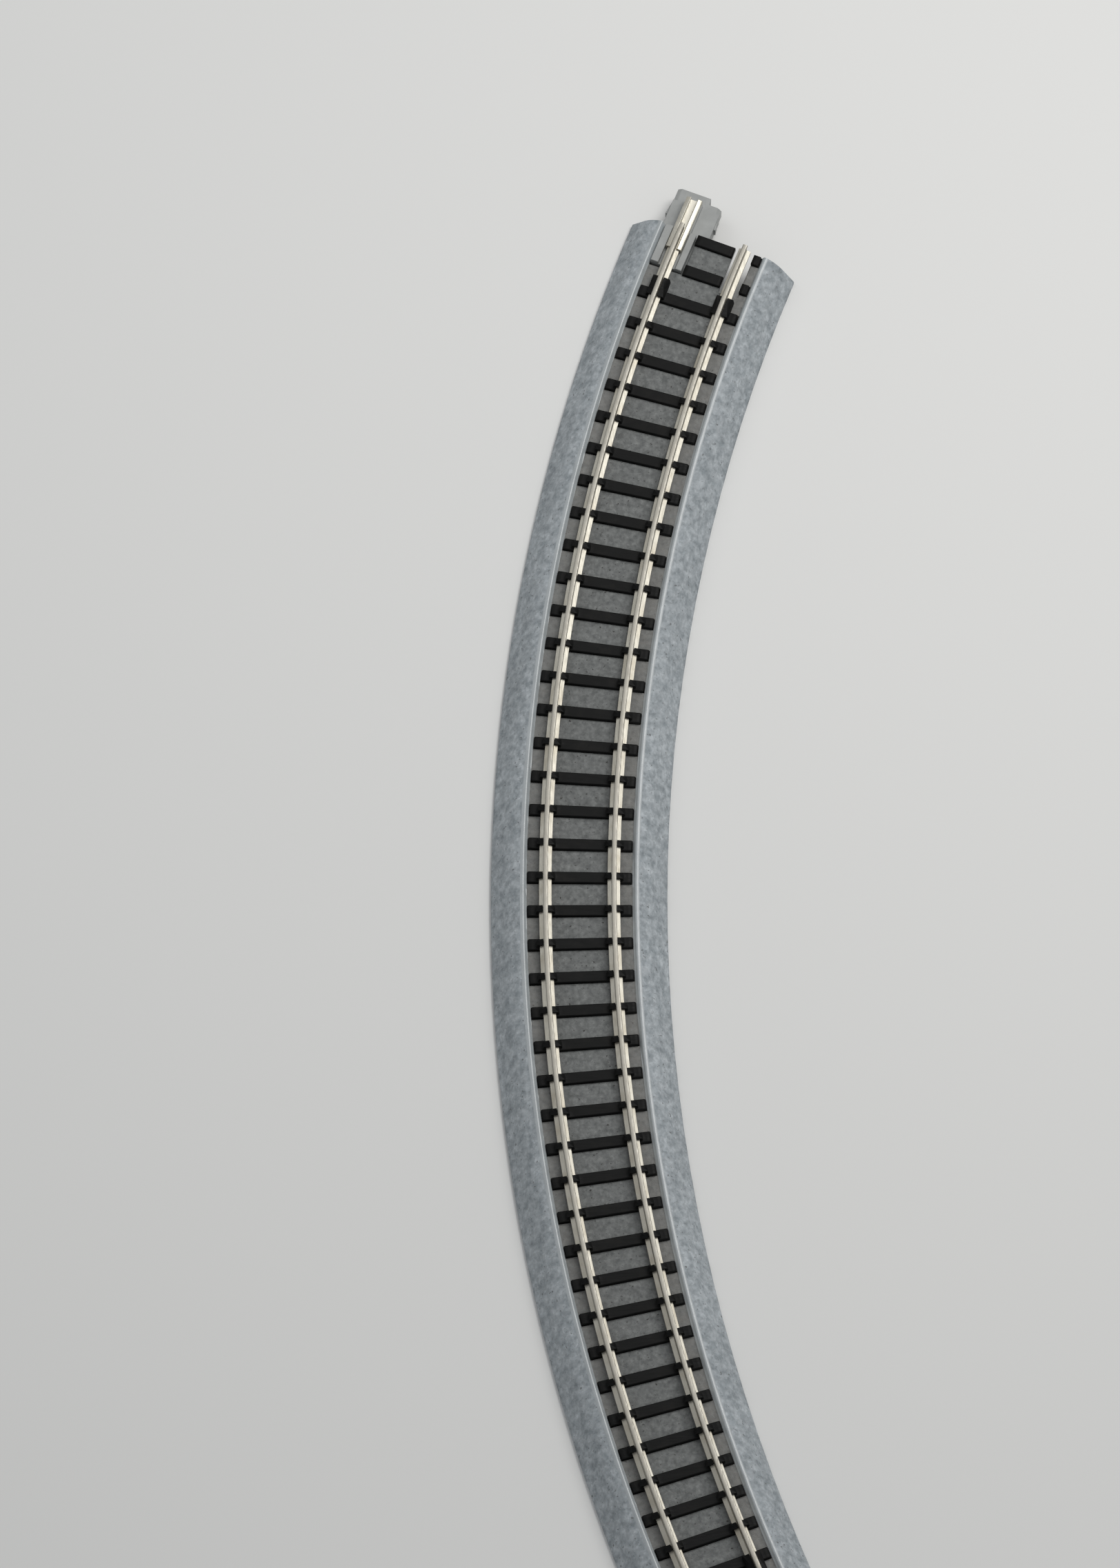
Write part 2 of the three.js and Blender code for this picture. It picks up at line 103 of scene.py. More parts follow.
RAIL_STEPS = 220
CLIP_STEPS = 34
FILLET_STEPS = 3
FILLET_SHARE = 0.45  # a rounding takes up no more of the shorter edge beside it
HOUSING_BEVEL = 0.09 * MM
SMOOTH_ANGLE = math.radians(35)  # sharper edges than this stay sharp

STEP_SLACK = 0.3  # share of a step that two lines may lie further apart
TINY = 0.001 * MM
SNAP = 0.02 * MM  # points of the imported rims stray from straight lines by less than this
FACET_STRAY = 0.04 * MM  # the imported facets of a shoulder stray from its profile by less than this
LEVEL = 0.99  # least upward share of the normal of a level face
UPRIGHT = 0.9  # least sideways share of the normal of a wall along the track
FACING_UP = 0.1  # least upward share of the normal of a sloping face

random = np.random.default_rng(282)


# ---- Places ------------------------------------------------------------------------------------

def to_row(n, s, h):
    turn = s / RADIUS
    reach = RADIUS + n
    return np.stack([RADIUS - reach * np.cos(turn), reach * np.sin(turn), h], axis=-1)


def to_track(points):
    x, y, z = points.T
    reach = np.hypot(RADIUS - x, y)
    return np.stack([reach - RADIUS, RADIUS * np.arctan2(y, RADIUS - x), z], axis=-1)


# A joiner's own frame: y outwards along its rail, x to the right for someone looking out.
def joiner_frame(side):
    turn = side * ARC / 2
    reach = RADIUS + side * RAIL_CENTRE
    place = Vector((RADIUS - reach * math.cos(turn), reach * math.sin(turn), 0))
    spin = -turn if side > 0 else math.pi - turn
    return Matrix.Translation(place) @ Matrix.Rotation(spin, 4, "Z")


# ---- Meshes ------------------------------------------------------------------------------------

def co_of(verts):
    return np.array([v.co for v in verts], float).reshape(-1, 3)


def put(verts, points):
    for v, p in zip(verts, points):
        v.co = p


# Track coordinates are left-handed, so the faces turn over with the points.
def unbend(bm):
    put(bm.verts, to_track(co_of(bm.verts)))
    bmesh.ops.reverse_faces(bm, faces=bm.faces)
    bm.normal_update()


def bend(bm):
    put(bm.verts, to_row(*co_of(bm.verts).T))
    bmesh.ops.reverse_faces(bm, faces=bm.faces)


def piece(name, bm, materials, body, smooth_angle=SMOOTH_ANGLE):
    mesh = bpy.data.meshes.new(name)
    bm.normal_update()
    bm.to_mesh(mesh)
    bm.free()
    for m in materials:
        mesh.materials.append(m)
    obj = bpy.data.objects.new(name, mesh)
    bpy.context.scene.collection.objects.link(obj)
    mesh.shade_smooth()
    mesh.set_sharp_from_angle(angle=smooth_angle)
    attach(obj, body)
    return obj


def copy_of(node):
    bm = bmesh.new()
    bm.from_mesh(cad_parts[node].data)
    bmesh.ops.remove_doubles(bm, verts=bm.verts, dist=TINY / 10)
    return bm


def is_level_at(f, height):
    return f.normal.z > LEVEL and abs(f.calc_center_median().z - height) < SNAP


# The values in order, without those that nearly repeat another.
def distinct(values):
    values = np.sort(values)
    return values[np.concatenate([[True], np.diff(values) > SNAP])]


# Lines through all the given places, with more between them so that none is much more than a step
# apart. Also says for each gap between lines which gap between places it lies in.
def ruled(places, step):
    lines = [places[:1]]
    owner = []
    for i, (low, high) in enumerate(zip(places, places[1:])):
        count = max(1, math.ceil((high - low) / step - STEP_SLACK))
        lines.append(low + (high - low) * np.arange(1, count + 1) / count)
        owner += [i] * count
    return np.concatenate(lines), np.array(owner)


# Which cells between coarse lines are covered by a set of triangles in n and s.
def covered(lines_n, lines_s, triangles):
    n = (lines_n[:-1] + lines_n[1:]) / 2
    s = (lines_s[:-1] + lines_s[1:]) / 2
    mask = np.zeros((len(s), len(n)), bool)
    for corners in triangles:
        low, high = corners.min(0), corners.max(0)
        i = slice(*np.searchsorted(s, (low[1], high[1])))
        j = slice(*np.searchsorted(n, (low[0], high[0])))
        x, y = np.meshgrid(n[j], s[i])
        signs = []
        for a, b in zip(corners, np.roll(corners, -1, axis=0)):
            signs.append((b[0] - a[0]) * (y - a[1]) - (b[1] - a[1]) * (x - a[0]))
        signs = np.array(signs)
        mask[i, j] |= (signs >= 0).all(0) | (signs <= 0).all(0)
    return mask


# Splits an edge where lines cross it, so that it carries a point for each.
def split_edge(edge, axis, lines):
    a, b = edge.verts
    if a.co[axis] > b.co[axis]:
        a, b = b, a
    low, high = a.co[axis], b.co[axis]
    first = a.co.copy()
    whole = b.co - a.co
    crossing = lines[np.searchsorted(lines, low + TINY) : np.searchsorted(lines, high - TINY)]
    for place in crossing:
        _, made = bmesh.utils.edge_split(edge, a, 0.5)
        made.co = first + whole * ((place - low) / (high - low))
        edge = next(e for e in made.link_edges if e.other_vert(made) is b)
        a = made


# Replaces level or sloping faces of an unbent mesh, whose rim runs along n and s, by a fine grid
# that is joined to the rim. Returns the vertices that lie inside the rim.
def refilled(bm, faces, step_n, step_s, height):
    region = set(faces)
    index = faces[0].material_index
    triangles = [co_of(f.verts)[:, :2] for f in faces]
    rim = [e for f in faces for e in f.edges if sum(g in region for g in e.link_faces) == 1]
    points = co_of([v for e in rim for v in e.verts])
    coarse_n, coarse_s = distinct(points[:, 0]), distinct(points[:, 1])
    mask = covered(coarse_n, coarse_s, triangles)
    lines_n, owner_n = ruled(coarse_n, step_n)
    lines_s, owner_s = ruled(coarse_s, step_s)
    mask = mask[np.ix_(owner_s, owner_n)]
    bmesh.ops.delete(bm, geom=faces, context="FACES")
    for e in rim:
        reach = e.verts[0].co - e.verts[1].co
        if abs(reach.y) > abs(reach.x):
            split_edge(e, 1, lines_s)
        else:
            split_edge(e, 0, lines_n)
    rim_points = [v for v in bm.verts if v.is_boundary]
    used = np.zeros((len(lines_s), len(lines_n)), bool)
    for di in (0, 1):
        for dj in (0, 1):
            used[di : di + mask.shape[0], dj : dj + mask.shape[1]] |= mask
    heights = height(lines_n)
    grid = {}
    for i, j in np.argwhere(used):
        grid[i, j] = bm.verts.new((lines_n[j], lines_s[i], heights[j]))
    for i, j in np.argwhere(mask):
        f = bm.faces.new((grid[i, j], grid[i, j + 1], grid[i + 1, j + 1], grid[i + 1, j]))
        f.material_index = index
    padded = np.pad(mask, 1)
    inside = padded[:-1, :-1] & padded[1:, :-1] & padded[:-1, 1:] & padded[1:, 1:]
    inner = [grid[i, j] for i, j in np.argwhere(inside)]
    border = [grid[i, j] for i, j in np.argwhere(used & ~inside)]
    bmesh.ops.remove_doubles(bm, verts=border + rim_points, dist=1.5 * SNAP)
    bmesh.ops.delete(bm, geom=[e for e in bm.edges if e.is_wire], context="EDGES")
    return inner


# Height of rounded stones on a jittered grid: 0 in the joints, up to 1 on the highest stone.
def stones(n, s, size, table):
    cells = np.floor(np.stack([n, s], -1) / size).astype(int)
    best = np.full(len(n), np.inf)
    tone = np.zeros(len(n))
    for i in (-1, 0, 1):
        for j in (-1, 0, 1):
            cell = cells + (i, j)
            dice = table[cell[:, 0] % len(table), cell[:, 1] % len(table)]
            margin = (1 - STONE_JITTER) / 2
            centre = (cell + margin + STONE_JITTER * dice[:, :2]) * size
            away = np.hypot(n - centre[:, 0], s - centre[:, 1]) / size
            nearer = away < best
            best = np.where(nearer, away, best)
            tone = np.where(nearer, dice[:, 2], tone)
    dome = np.clip(1 - STONE_FALL * best**2, 0, 1)
    return dome * (STONE_LOWEST + (1 - STONE_LOWEST) * tone)


# From 0 at low to 1 at high, level at both.
def smooth_step(low, high, x):
    t = np.clip((x - low) / (high - low), 0, 1)
    return t * t * (3 - 2 * t)


# A closed profile swept along a path: one row of points per place, and a flat face at each end.
def loft(rows):
    bm = bmesh.new()
    rings = [[bm.verts.new(p) for p in row] for row in rows]
    for a, b in zip(rings, rings[1:]):
        for i in range(len(a)):
            j = (i + 1) % len(a)
            bm.faces.new((a[i], a[j], b[j], b[i]))
    bm.faces.new(rings[0][::-1])
    bm.faces.new(rings[-1])
    bmesh.ops.recalc_face_normals(bm, faces=bm.faces)
    return bm


# Rounds the corners of a polygon whose points are (x, y, radius).
def filleted(points):
    out = []
    count = len(points)
    for i, (x, y, radius) in enumerate(points):
        here = Vector((x, y))
        before = Vector(points[i - 1][:2]) - here
        after = Vector(points[(i + 1) % count][:2]) - here
        half = before.angle(after) / 2
        shorter = min(before.length, after.length)
        reach = min(radius / math.tan(half), shorter * FILLET_SHARE)
        start = here + before.normalized() * reach
        end = here + after.normalized() * reach
        for k in range(FILLET_STEPS + 1):
            t = k / FILLET_STEPS
            out.append(start * (1 - t) ** 2 + here * 2 * t * (1 - t) + end * t * t)
    return [tuple(p) for p in out]


# ---- Materials ---------------------------------------------------------------------------------

class Shader:
    def __init__(self, name, roughness, metallic=0.0, specular=0.5):
        self.material = bpy.data.materials.new(name)
        self.material.use_nodes = True
        self.tree = self.material.node_tree
        self.bsdf = self.tree.nodes["Principled BSDF"]
        self.bsdf.inputs["Roughness"].default_value = roughness
        self.bsdf.inputs["Metallic"].default_value = metallic
        self.bsdf.inputs["Specular IOR Level"].default_value = specular
        coords = self.node("ShaderNodeTexCoord")
        self.place = self.node("ShaderNodeVectorMath", operation="SCALE")
        self.place.inputs["Scale"].default_value = 1 / MM
        self.link(coords.outputs["Object"], self.place.inputs[0])

    def node(self, kind, **settings):
        made = self.tree.nodes.new(kind)
        for key, value in settings.items():
            setattr(made, key, value)
        return made

    def link(self, a, b):
        self.tree.links.new(a, b)

    def feed(self, socket, value):
        if isinstance(value, (int, float)):
            socket.default_value = value
        elif isinstance(value, tuple):
            socket.default_value = (*value, 1.0)[: len(socket.default_value)]
        else:
            self.link(value, socket)

    # Fractal noise, sized in millimetres.
    def noise(self, size, detail, stretch=None):
        made = self.node("ShaderNodeTexNoise")
        made.inputs["Scale"].default_value = 1 / size
        made.inputs["Detail"].default_value = detail
        made.inputs["Roughness"].default_value = 0.55
        source = self.place.outputs[0]
        if stretch:
            scaled = self.node("ShaderNodeVectorMath", operation="MULTIPLY")
            self.link(source, scaled.inputs[0])
            scaled.inputs[1].default_value = stretch
            source = scaled.outputs[0]
        self.link(source, made.inputs["Vector"])
        return made.outputs["Fac"]

    # A random tone for each cell, sized in millimetres.
    def cells(self, size):
        made = self.node("ShaderNodeTexVoronoi", feature="F1")
        made.inputs["Scale"].default_value = 1 / size
        self.link(self.place.outputs[0], made.inputs["Vector"])
        return made.outputs["Color"]

    # Distance from the centreline in millimetres.
    def across(self):
        flat = self.node("ShaderNodeVectorMath", operation="MULTIPLY")
        self.link(self.place.outputs[0], flat.inputs[0])
        flat.inputs[1].default_value = (1, 1, 0)
        reach = self.node("ShaderNodeVectorMath", operation="DISTANCE")
        self.link(flat.outputs[0], reach.inputs[0])
        reach.inputs[1].default_value = (RADIUS / MM, 0, 0)
        offset = self.math("SUBTRACT", reach.outputs["Value"], RADIUS / MM)
        return self.math("ABSOLUTE", offset, 0.0)

    # Height above the table in millimetres.
    def height(self):
        made = self.node("ShaderNodeSeparateXYZ")
        self.link(self.place.outputs[0], made.inputs[0])
        return made.outputs["Z"]

    # Stops are (place, grey).
    def ramp(self, value, *stops):
        made = self.node("ShaderNodeValToRGB")
        self.link(value, made.inputs["Fac"])
        ramp = made.color_ramp
        while len(ramp.elements) < len(stops):
            ramp.elements.new(0.5)
        for element, (at, shade) in zip(ramp.elements, stops):
            element.position = at
            element.color = (shade, shade, shade, 1)
        return made.outputs["Color"]

    def math(self, operation, a, b):
        made = self.node("ShaderNodeMath", operation=operation)
        self.feed(made.inputs[0], a)
        self.feed(made.inputs[1], b)
        return made.outputs[0]

    def mix(self, factor, a, b, how="MIX"):
        made = self.node("ShaderNodeMix", data_type="RGBA", blend_type=how)
        self.feed(made.inputs["Factor"], factor)
        self.feed(made.inputs[6], a)
        self.feed(made.inputs[7], b)
        return made.outputs[2]

    def bump(self, height, distance, strength):
        made = self.node("ShaderNodeBump")
        made.inputs["Distance"].default_value = distance
        made.inputs["Strength"].default_value = strength
        self.link(height, made.inputs["Height"])
        return made.outputs["Normal"]

    def done(self, colour, roughness=None, normal=None):
        self.feed(self.bsdf.inputs["Base Color"], colour)
        if roughness is not None:
            self.link(roughness, self.bsdf.inputs["Roughness"])
        if normal is not None:
            self.link(normal, self.bsdf.inputs["Normal"])
        return self.material


# Moulded stone: mottled between two colours, each stone a little different, with dark specks.
def ballast(name, light, dark, speck, relief, size):
    sh = Shader(name, 0.75, specular=0.4)
    mottle = sh.noise(size, 3.0)
    colour = sh.mix(sh.ramp(mottle, (0.3, 0.0), (0.7, 1.0)), dark, light)
    grain = sh.ramp(sh.cells(0.34), (0.0, 0.82), (1.0, 1.16))
    colour = sh.mix(1.0, colour, grain, "MULTIPLY")
    drift = sh.ramp(sh.noise(9.0, 2.0), (0.3, 0.94), (0.7, 1.05))
    colour = sh.mix(1.0, colour, drift, "MULTIPLY")
    flecks = sh.ramp(sh.noise(0.5, 1.0), (0.68, 0.0), (0.76, 1.0))
    colour = sh.mix(flecks, colour, speck)
    rough = sh.ramp(sh.noise(0.6, 2.0), (0.3, 0.62), (0.7, 0.85))
    normal = sh.bump(sh.noise(0.16, 2.0), relief, 0.9)
    return sh, colour, rough, normal


def shoulder_ballast():
    pale, shade, speck = (0.46, 0.495, 0.52), (0.25, 0.28, 0.30), (0.17, 0.18, 0.185)
    sh, colour, rough, normal = ballast("ballast_shoulder", pale, shade, speck, 0.03 * MM, 1.2)
    return sh.done(colour, rough, normal)


# Painted shade: the bed between the ties is a darker copy of the shoulders' stone. From beside the
# rails out to the lips it is paler and brownish, as painted light and a painted reflection of the
# rails.
def shaded_bed_ballast():
    # Painted shade: these colours are darker than the shoulders' to stand in for the shade between
    # the rails and lips.
    pale, shade, speck = (0.21, 0.218, 0.215), (0.118, 0.124, 0.124), (0.045, 0.043, 0.041)
    sh, colour, rough, normal = ballast("ballast_bed_painted_shade", pale, shade, speck, 0.05 * MM, 0.9)
    # Painted light and a painted warm reflection of the rails: a paler, brownish tone in patches,
    # starting 3.3 mm from the centreline and full from 6 mm out to the lips.
    centimetres = sh.math("MULTIPLY", sh.across(), 0.1)
    dust_and_painted_light = sh.ramp(centimetres, (0.33, 0.0), (0.6, 0.6))
    drift = sh.ramp(sh.noise(1.1, 3.0), (0.3, 0.35), (0.65, 1.0))
    dust_and_painted_light = sh.math("MULTIPLY", dust_and_painted_light, drift)
    colour = sh.mix(dust_and_painted_light, colour, (0.25, 0.242, 0.228))
    return sh.done(colour, rough, normal)


def tie_plastic():
    sh = Shader("tie_plastic", 0.65, specular=0.1)
    along = sh.noise(0.5, 3.0, stretch=(0.18, 2.2, 1.0))
    colour = sh.mix(along, (0.0045, 0.005, 0.0052), (0.0135, 0.0135, 0.0132))
    dust_and_painted_light = sh.ramp(sh.noise(2.2, 3.0), (0.5, 0.0), (0.8, 0.35))
    colour = sh.mix(dust_and_painted_light, colour, (0.026, 0.024, 0.022))
    rough = sh.ramp(along, (0.3, 0.42), (0.7, 0.62))
    return sh.done(colour, rough, sh.bump(along, 0.03 * MM, 0.8))


# Bright metal with patches of tarnish and fine drawing lines. Above a height in centimetres it is
# darker:
# painted shade standing in for the dark reflection on the rail's head.
def drawn_metal(name, colour, tarnish, roughness, painted_shade_above=None):
    sh = Shader(name, roughness, metallic=1.0)
    patch = sh.ramp(sh.noise(3.2, 3.0), (0.42, 0.0), (0.75, 0.7))
    shade = sh.mix(patch, colour, tarnish)
    fine = sh.noise(0.35, 2.0, stretch=(2.6, 0.25, 2.6))
    shade = sh.mix(1.0, shade, sh.ramp(fine, (0.25, 0.9), (0.75, 1.06)), "MULTIPLY")
    rough = sh.ramp(fine, (0.2, roughness * 0.8), (0.8, roughness * 1.35))
    if painted_shade_above:
        # Painted shade: above this height the head is blended towards a dark grey to stand in for
        # its dark reflection.
        centimetres = sh.math("MULTIPLY", sh.height(), 0.1)
        top = sh.ramp(centimetres, (painted_shade_above - 0.01, 0.0), (painted_shade_above, 0.75))
        shade = sh.mix(top, shade, (0.31, 0.297, 0.267))
    return sh.done(shade, rough, sh.bump(fine, 0.006 * MM, 0.6))


def satin_plastic(name, colour, roughness=0.5, specular=0.45):
    sh = Shader(name, roughness, specular=specular)
    patch = sh.ramp(sh.noise(1.6, 3.0), (0.3, 0.9), (0.7, 1.08))
    shade = sh.mix(1.0, colour, patch, "MULTIPLY")
    rough = sh.ramp(sh.noise(0.4, 2.0), (0.3, roughness * 0.9), (0.7, roughness * 1.2))
    return sh.done(shade, rough, sh.bump(sh.noise(0.12, 2.0), 0.008 * MM, 0.6))


SHOULDER = shoulder_ballast()
SHADED_BED = shaded_bed_ballast()
LIP = satin_plastic("ballast_lip", (0.36, 0.39, 0.405), 0.3, 0.8)
UNDER = satin_plastic("roadbed_underside", (0.33, 0.35, 0.36))
TIE = tie_plastic()
RAIL = drawn_metal("nickel_silver_rail", (0.62, 0.593, 0.52), (0.45, 0.405, 0.32), 0.48, 0.68)
CLIP = drawn_metal("nickel_silver_clip", (0.66, 0.632, 0.558), (0.49, 0.455, 0.37), 0.44)
HOUSING = satin_plastic("joiner_plastic", (0.34, 0.35, 0.345))


# ---- Roadbed -----------------------------------------------------------------------------------

ROADBED_MATERIALS = [SHOULDER, SHADED_BED, UNDER, LIP]
SHOULDER_INDEX, BED_INDEX, UNDER_INDEX, LIP_INDEX = range(4)


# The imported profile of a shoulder, outwards from its lip.
def shoulder_height(n):
    corners = [CROWN_HALF, BEND_HALF, BASE_HALF]
    return np.interp(np.abs(n), corners, [SHOULDER_TOP, BEND_HEIGHT, BASE_EDGE])


# Which points lie on a shoulder's surface.
def on_shoulder(points):
    stray = np.abs(points[:, 2] - shoulder_height(points[:, 0]))
    return (stray < FACET_STRAY) & (np.abs(points[:, 0]) > LIP_HALF - TINY)


# The profile with its corners worn round, but neither at the lip nor at the foot, and with the edge
# of the lip worn down.
def worn_height(n):
    n = np.abs(n)
    places = [LIP_HALF, LIP_HALF + EASING_START, BASE_HALF - EASING, BASE_HALF]
    reach = np.interp(n, places, [0, EASING, EASING, 0])
    shares = np.linspace(-1, 1, EASING_SAMPLES)
    rounded = sum(shoulder_height(n + share * reach) for share in shares) / EASING_SAMPLES
    from_crown = np.clip((CROWN_HALF - n) / (CROWN_HALF - LIP_HALF), 0, 1)
    return rounded - LIP_DROP * from_crown**2


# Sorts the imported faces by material. Returns those of each shoulder and those of the bed.
def sort_roadbed_faces(bm):
    shoulders = {True: [], False: []}
    bed = []
    for f in bm.faces:
        place = f.calc_center_median()
        f.material_index = UNDER_INDEX
        if f.normal.z > FACING_UP and on_shoulder(co_of(f.verts)).all():
            f.material_index = SHOULDER_INDEX
            shoulders[place.x > 0].append(f)
        elif is_level_at(f, BALLAST_TOP):
            f.material_index = BED_INDEX
            bed.append(f)
        elif abs(f.normal.x) > UPRIGHT and place.z > BALLAST_TOP * 0.98:
            f.material_index = LIP_INDEX
        elif abs(place.x) > BASE_HALF * 0.999:
            f.material_index = SHOULDER_INDEX
    return shoulders.values(), bed


# How far the grain lifts or sinks points of the shoulders and of the bed.
def grain(n, s):
    table = random.random((STONE_TABLE, STONE_TABLE, 3))
    out = np.abs(n)
    on_bed = out < BED_HALF
    relief = np.where(on_bed, BED_RELIEF, STONE_RELIEF)
    near_base = smooth_step(BASE_HALF - GRAIN_GONE, BASE_HALF - GRAIN_END, out)
    near_lip = np.where(on_bed, 1, smooth_step(CROWN_HALF, CROWN_HALF + GRAIN_RISE, out))
    return (stones(n, s, STONE, table) - STONE_LEVEL) * relief * near_base * near_lip


def make_roadbed():
    bm = copy_of("roadbed")
    unbend(bm)
    shoulders, bed = sort_roadbed_faces(bm)
    inner = []
    for group in shoulders:
        inner += refilled(bm, group, GRAIN_STEP, GRAIN_STEP, shoulder_height)
    for f in bm.faces:
        on_lip = abs(f.calc_center_median().x) < CROWN_HALF + LIP_WIDTH
        if f.material_index == SHOULDER_INDEX and on_lip:
            f.material_index = LIP_INDEX
    verts = list(bm.verts)
    points = co_of(verts)
    outer = on_shoulder(points)
    points[outer, 2] = worn_height(points[outer, 0])
    put(verts, points)
    inner += refilled(bm, bed, GRAIN_STEP, GRAIN_STEP, lambda n: np.full(len(n), BALLAST_TOP))
    bm.normal_update()
    points = co_of(inner)
    normals = np.array([v.normal for v in inner])
    points += normals * grain(points[:, 0], points[:, 1])[:, None]
    put(inner, points)
    bend(bm)
    smooth_angle = math.radians(50)
    obj = piece("roadbed_moulding", bm, ROADBED_MATERIALS, "track", smooth_angle)
    for polygon in obj.data.polygons:
        polygon.use_smooth = polygon.material_index != UNDER_INDEX
    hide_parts("roadbed")


# ---- Ties --------------------------------------------------------------------------------------

# How far the wood grain sinks points of the ties: each row across a tie has its own waves.
def tie_grain(n, s):
    row = np.floor(s / TIE_STEP + 0.5).astype(int) % TIE_TABLE
    table = random.random((TIE_TABLE, 2 * TIE_WAVES))
    wave = np.zeros(len(n))
    for k in range(TIE_WAVES):
        pace = 0.5 + 1.1 * table[row, k]
        wave += np.sin(n / MM * pace + FULL_TURN * table[row, k + TIE_WAVES])
    return TIE_RELIEF * np.clip(0.5 + 0.3 * wave, 0, 1)


def make_ties():
    bm = copy_of("tie_ladder")
    unbend(bm)
    tops = [f for f in bm.faces if is_level_at(f, TIE_TOP)]
    step_n = TIE_STRETCH * TIE_STEP
    inner = refilled(bm, tops, step_n, TIE_STEP, lambda n: np.full(len(n), TIE_TOP))
    points = co_of(inner)
    points[:, 2] -= tie_grain(points[:, 0], points[:, 1])
    put(inner, points)
    bend(bm)
    obj = piece("tie_moulding", bm, [TIE], "track", math.radians(40))
    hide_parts("tie_ladder")


# ---- Rails -------------------------------------------------------------------------------------

# Up one side, in millimetres: foot, web and head. The other side mirrors it.
def rail_profile():
    top = RAIL_HEIGHT / MM
    half = [
        (0.9, 0.0, 0.03),
        (0.9, 0.25, 0.06),
        (0.25, 0.45, 0.12),
        (0.25, 1.5, 0.05),
        (0.35, 1.58, 0.05),
        (0.35, top, 0.13),
    ]
    other = [(-x, y, r) for x, y, r in reversed(half)]
    return [(x * MM, y * MM) for x, y in filleted(half + other)]


def make_rail(name, node, centre):
    profile = np.array(rail_profile())
    n = profile[:, 0] + centre
    rows = []
    for s in np.linspace(-TRACK_END, TRACK_END, RAIL_STEPS + 1):
        rows.append(to_row(n, np.full(len(n), s), profile[:, 1] + RAIL_FOOT))
    obj = piece(name, loft(rows), [RAIL], "track")
    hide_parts(node)


# ---- Joiners -----------------------------------------------------------------------------------

def make_housing(end):
    bm = copy_of(f"{end}_joiner_housing")
    bmesh.ops.dissolve_limit(bm, angle_limit=math.radians(1), verts=bm.verts, edges=bm.edges)
    obj = piece(f"{end}_housing", bm, [HOUSING], f"{end}_joiner")
    bevel = obj.modifiers.new("edges", "BEVEL")
    bevel.width = HOUSING_BEVEL
    bevel.segments = 2
    bevel.limit_method = "ANGLE"
    bevel.angle_limit = math.radians(30)
    bevel.use_clamp_overlap = True
    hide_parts(f"{end}_joiner_housing")


# A channel folded from sheet round the rail's foot, in millimetres: up its outside, over the foot
# and back down its inside. The other side mirrors it.
def clip_profile():
    sheet, play, foot_height = 0.22, 0.08, 0.45
    low = RAIL_FOOT / MM - play - sheet
    under = RAIL_FOOT / MM + foot_height + play
    outer = [
        (1.2, low, 0.2),
        (1.2, under, 0.16),
        (0.56, under + sheet, 0.06),
        (0.45, under, 0.05),
        (1.2 - sheet, under - sheet, 0.08),
        (1.2 - sheet, low + sheet, 0.1),
    ]
    other = [(-x, y, r) for x, y, r in reversed(outer)]
    return [(x * MM, y * MM) for x, y in filleted(outer + other)]


def make_clip(end, side):
    profile = clip_profile()
    rows = []
    for u in np.linspace(-CLIP_INSIDE, CLIP_OUTSIDE, CLIP_STEPS + 1):
        rows.append([Vector((-x, u, y)) for x, y in profile])
    bm = loft(rows)
    bm.transform(joiner_frame(side))
    obj = piece(f"{end}_clip", bm, [CLIP], f"{end}_joiner")
    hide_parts(f"{end}_joiner_clip")


make_roadbed()
make_ties()
make_rail("rail_outer", "outer_rail", RAIL_CENTRE)
make_rail("rail_inner", "inner_rail", -RAIL_CENTRE)
for end, side in (("far", 1), ("near", -1)):
    make_housing(end)
    make_clip(end, side)


# ---- Camera ------------------------------------------------------------------------------------

AZIMUTH = math.radians(-2.39)
ELEVATION = math.radians(65.72)
ROLL = math.radians(1.40)
DISTANCE = 2151.4 * MM
TARGET = Vector((-2.39, 22.14, 5.0)) * MM
FOCAL_PIXELS = 21985
FRAME_HEIGHT = 2274  # pixels
SENSOR = 36  # millimetres, along the frame's longer side

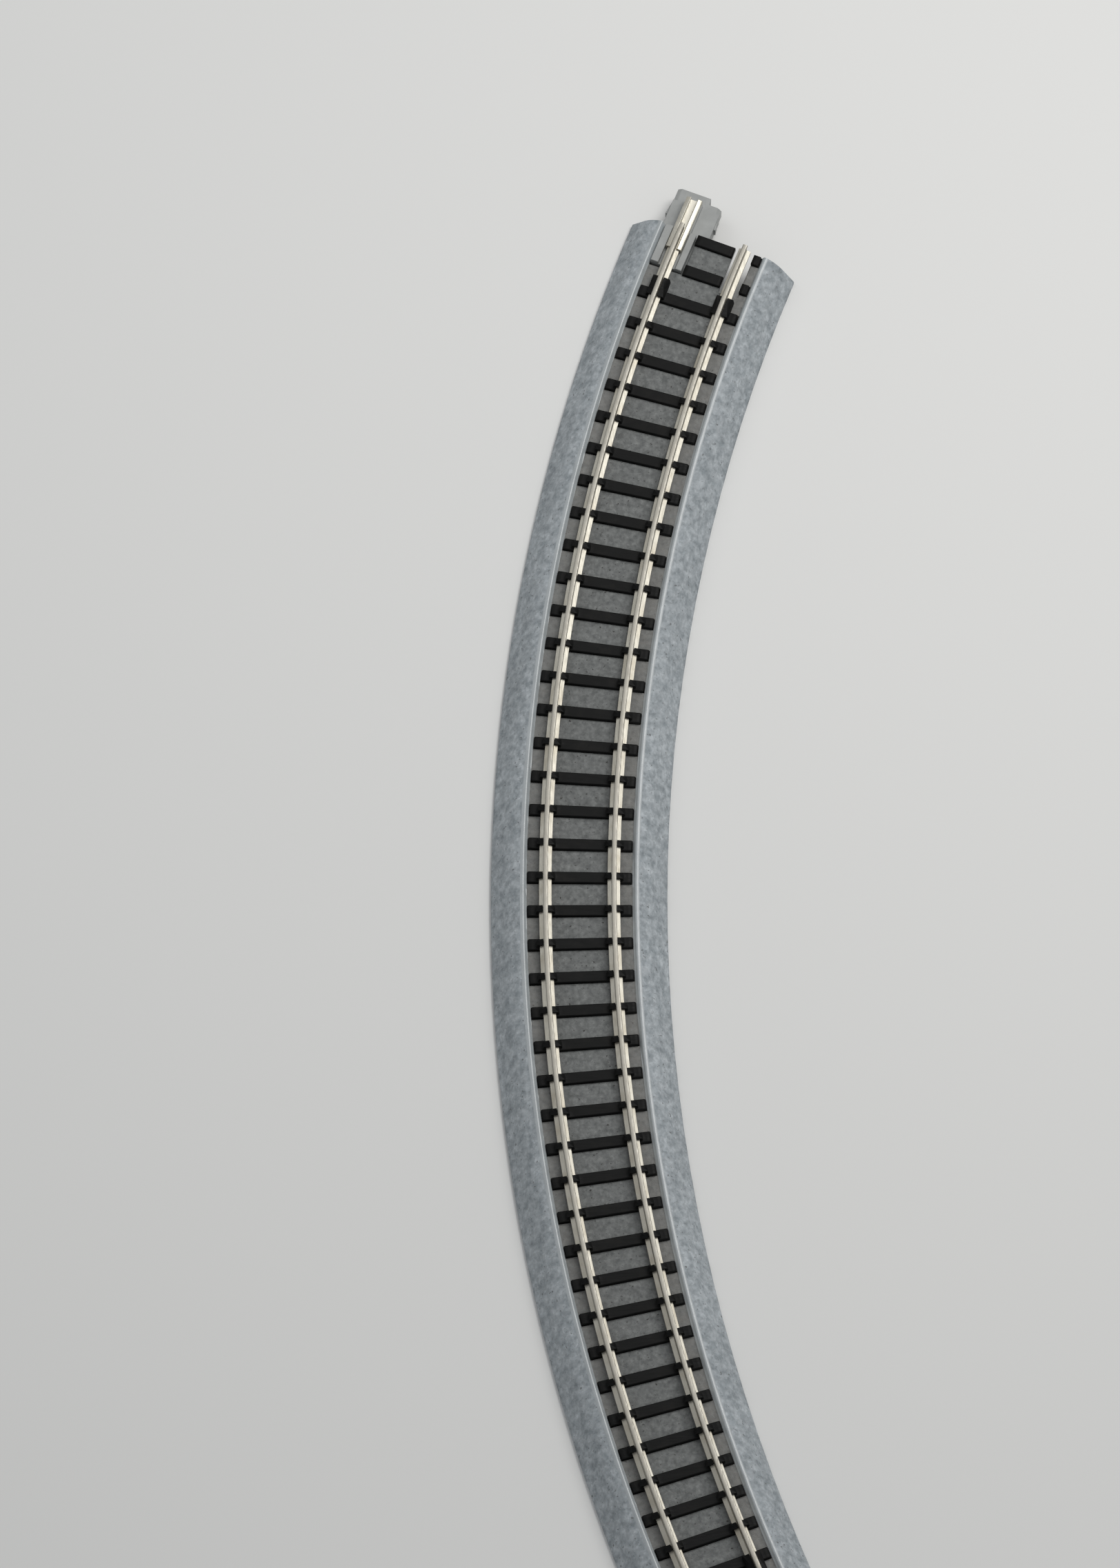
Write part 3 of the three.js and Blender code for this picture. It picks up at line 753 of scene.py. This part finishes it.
towards = Vector((math.sin(AZIMUTH), -math.cos(AZIMUTH), 0))
back = towards * math.cos(ELEVATION) + Vector((0, 0, math.sin(ELEVATION)))
right = Vector((math.cos(AZIMUTH), math.sin(AZIMUTH), 0))
up = back.cross(right)
turned_right = right * math.cos(ROLL) + up * math.sin(ROLL)
turned_up = up * math.cos(ROLL) - right * math.sin(ROLL)

camera_data = bpy.data.cameras.new("camera")
camera_data.sensor_width = SENSOR
camera_data.lens = SENSOR * FOCAL_PIXELS / FRAME_HEIGHT
camera_data.clip_start = 0.1
camera_data.clip_end = 20
camera = bpy.data.objects.new("camera", camera_data)
bpy.context.scene.collection.objects.link(camera)
turn = Matrix((turned_right, turned_up, back)).transposed()
camera.matrix_world = Matrix.Translation(TARGET + back * DISTANCE) @ turn.to_4x4()
bpy.context.scene.camera = camera


# ---- Stage and light ---------------------------------------------------------------------------

FLOOR_HALF = 6
LIGHT_TARGET = Vector((0, 0.02, 0))


def make_floor():
    bm = bmesh.new()
    bmesh.ops.create_grid(bm, x_segments=1, y_segments=1, size=FLOOR_HALF)
    mesh = bpy.data.meshes.new("floor")
    bm.to_mesh(mesh)
    bm.free()
    sh = Shader("floor", 0.9, specular=0.1)
    mesh.materials.append(sh.done((0.80, 0.80, 0.79)))
    obj = bpy.data.objects.new("floor", mesh)
    bpy.context.scene.collection.objects.link(obj)


def softbox(name, place, size, watts, colour):
    data = bpy.data.lights.new(name, "AREA")
    data.shape = "RECTANGLE"
    data.size, data.size_y = size
    data.energy = watts
    data.color = colour
    obj = bpy.data.objects.new(name, data)
    bpy.context.scene.collection.objects.link(obj)
    obj.location = place
    obj.rotation_mode = "QUATERNION"
    obj.rotation_quaternion = (Vector(place) - LIGHT_TARGET).to_track_quat("Z", "Y")


make_floor()
softbox("east", (0.22, 0.22, 0.46), (0.3, 0.3), 1.6, (1.0, 0.99, 0.97))
softbox("west", (-0.29, 0.27, 0.43), (0.3, 0.3), 0.3, (0.97, 0.99, 1.0))

world = bpy.data.worlds.new("studio")
world.use_nodes = True
background = world.node_tree.nodes["Background"]
background.inputs["Color"].default_value = (0.97, 0.985, 1.0, 1)
background.inputs["Strength"].default_value = 0.32
bpy.context.scene.world = world
bpy.context.scene.view_settings.view_transform = "Standard"
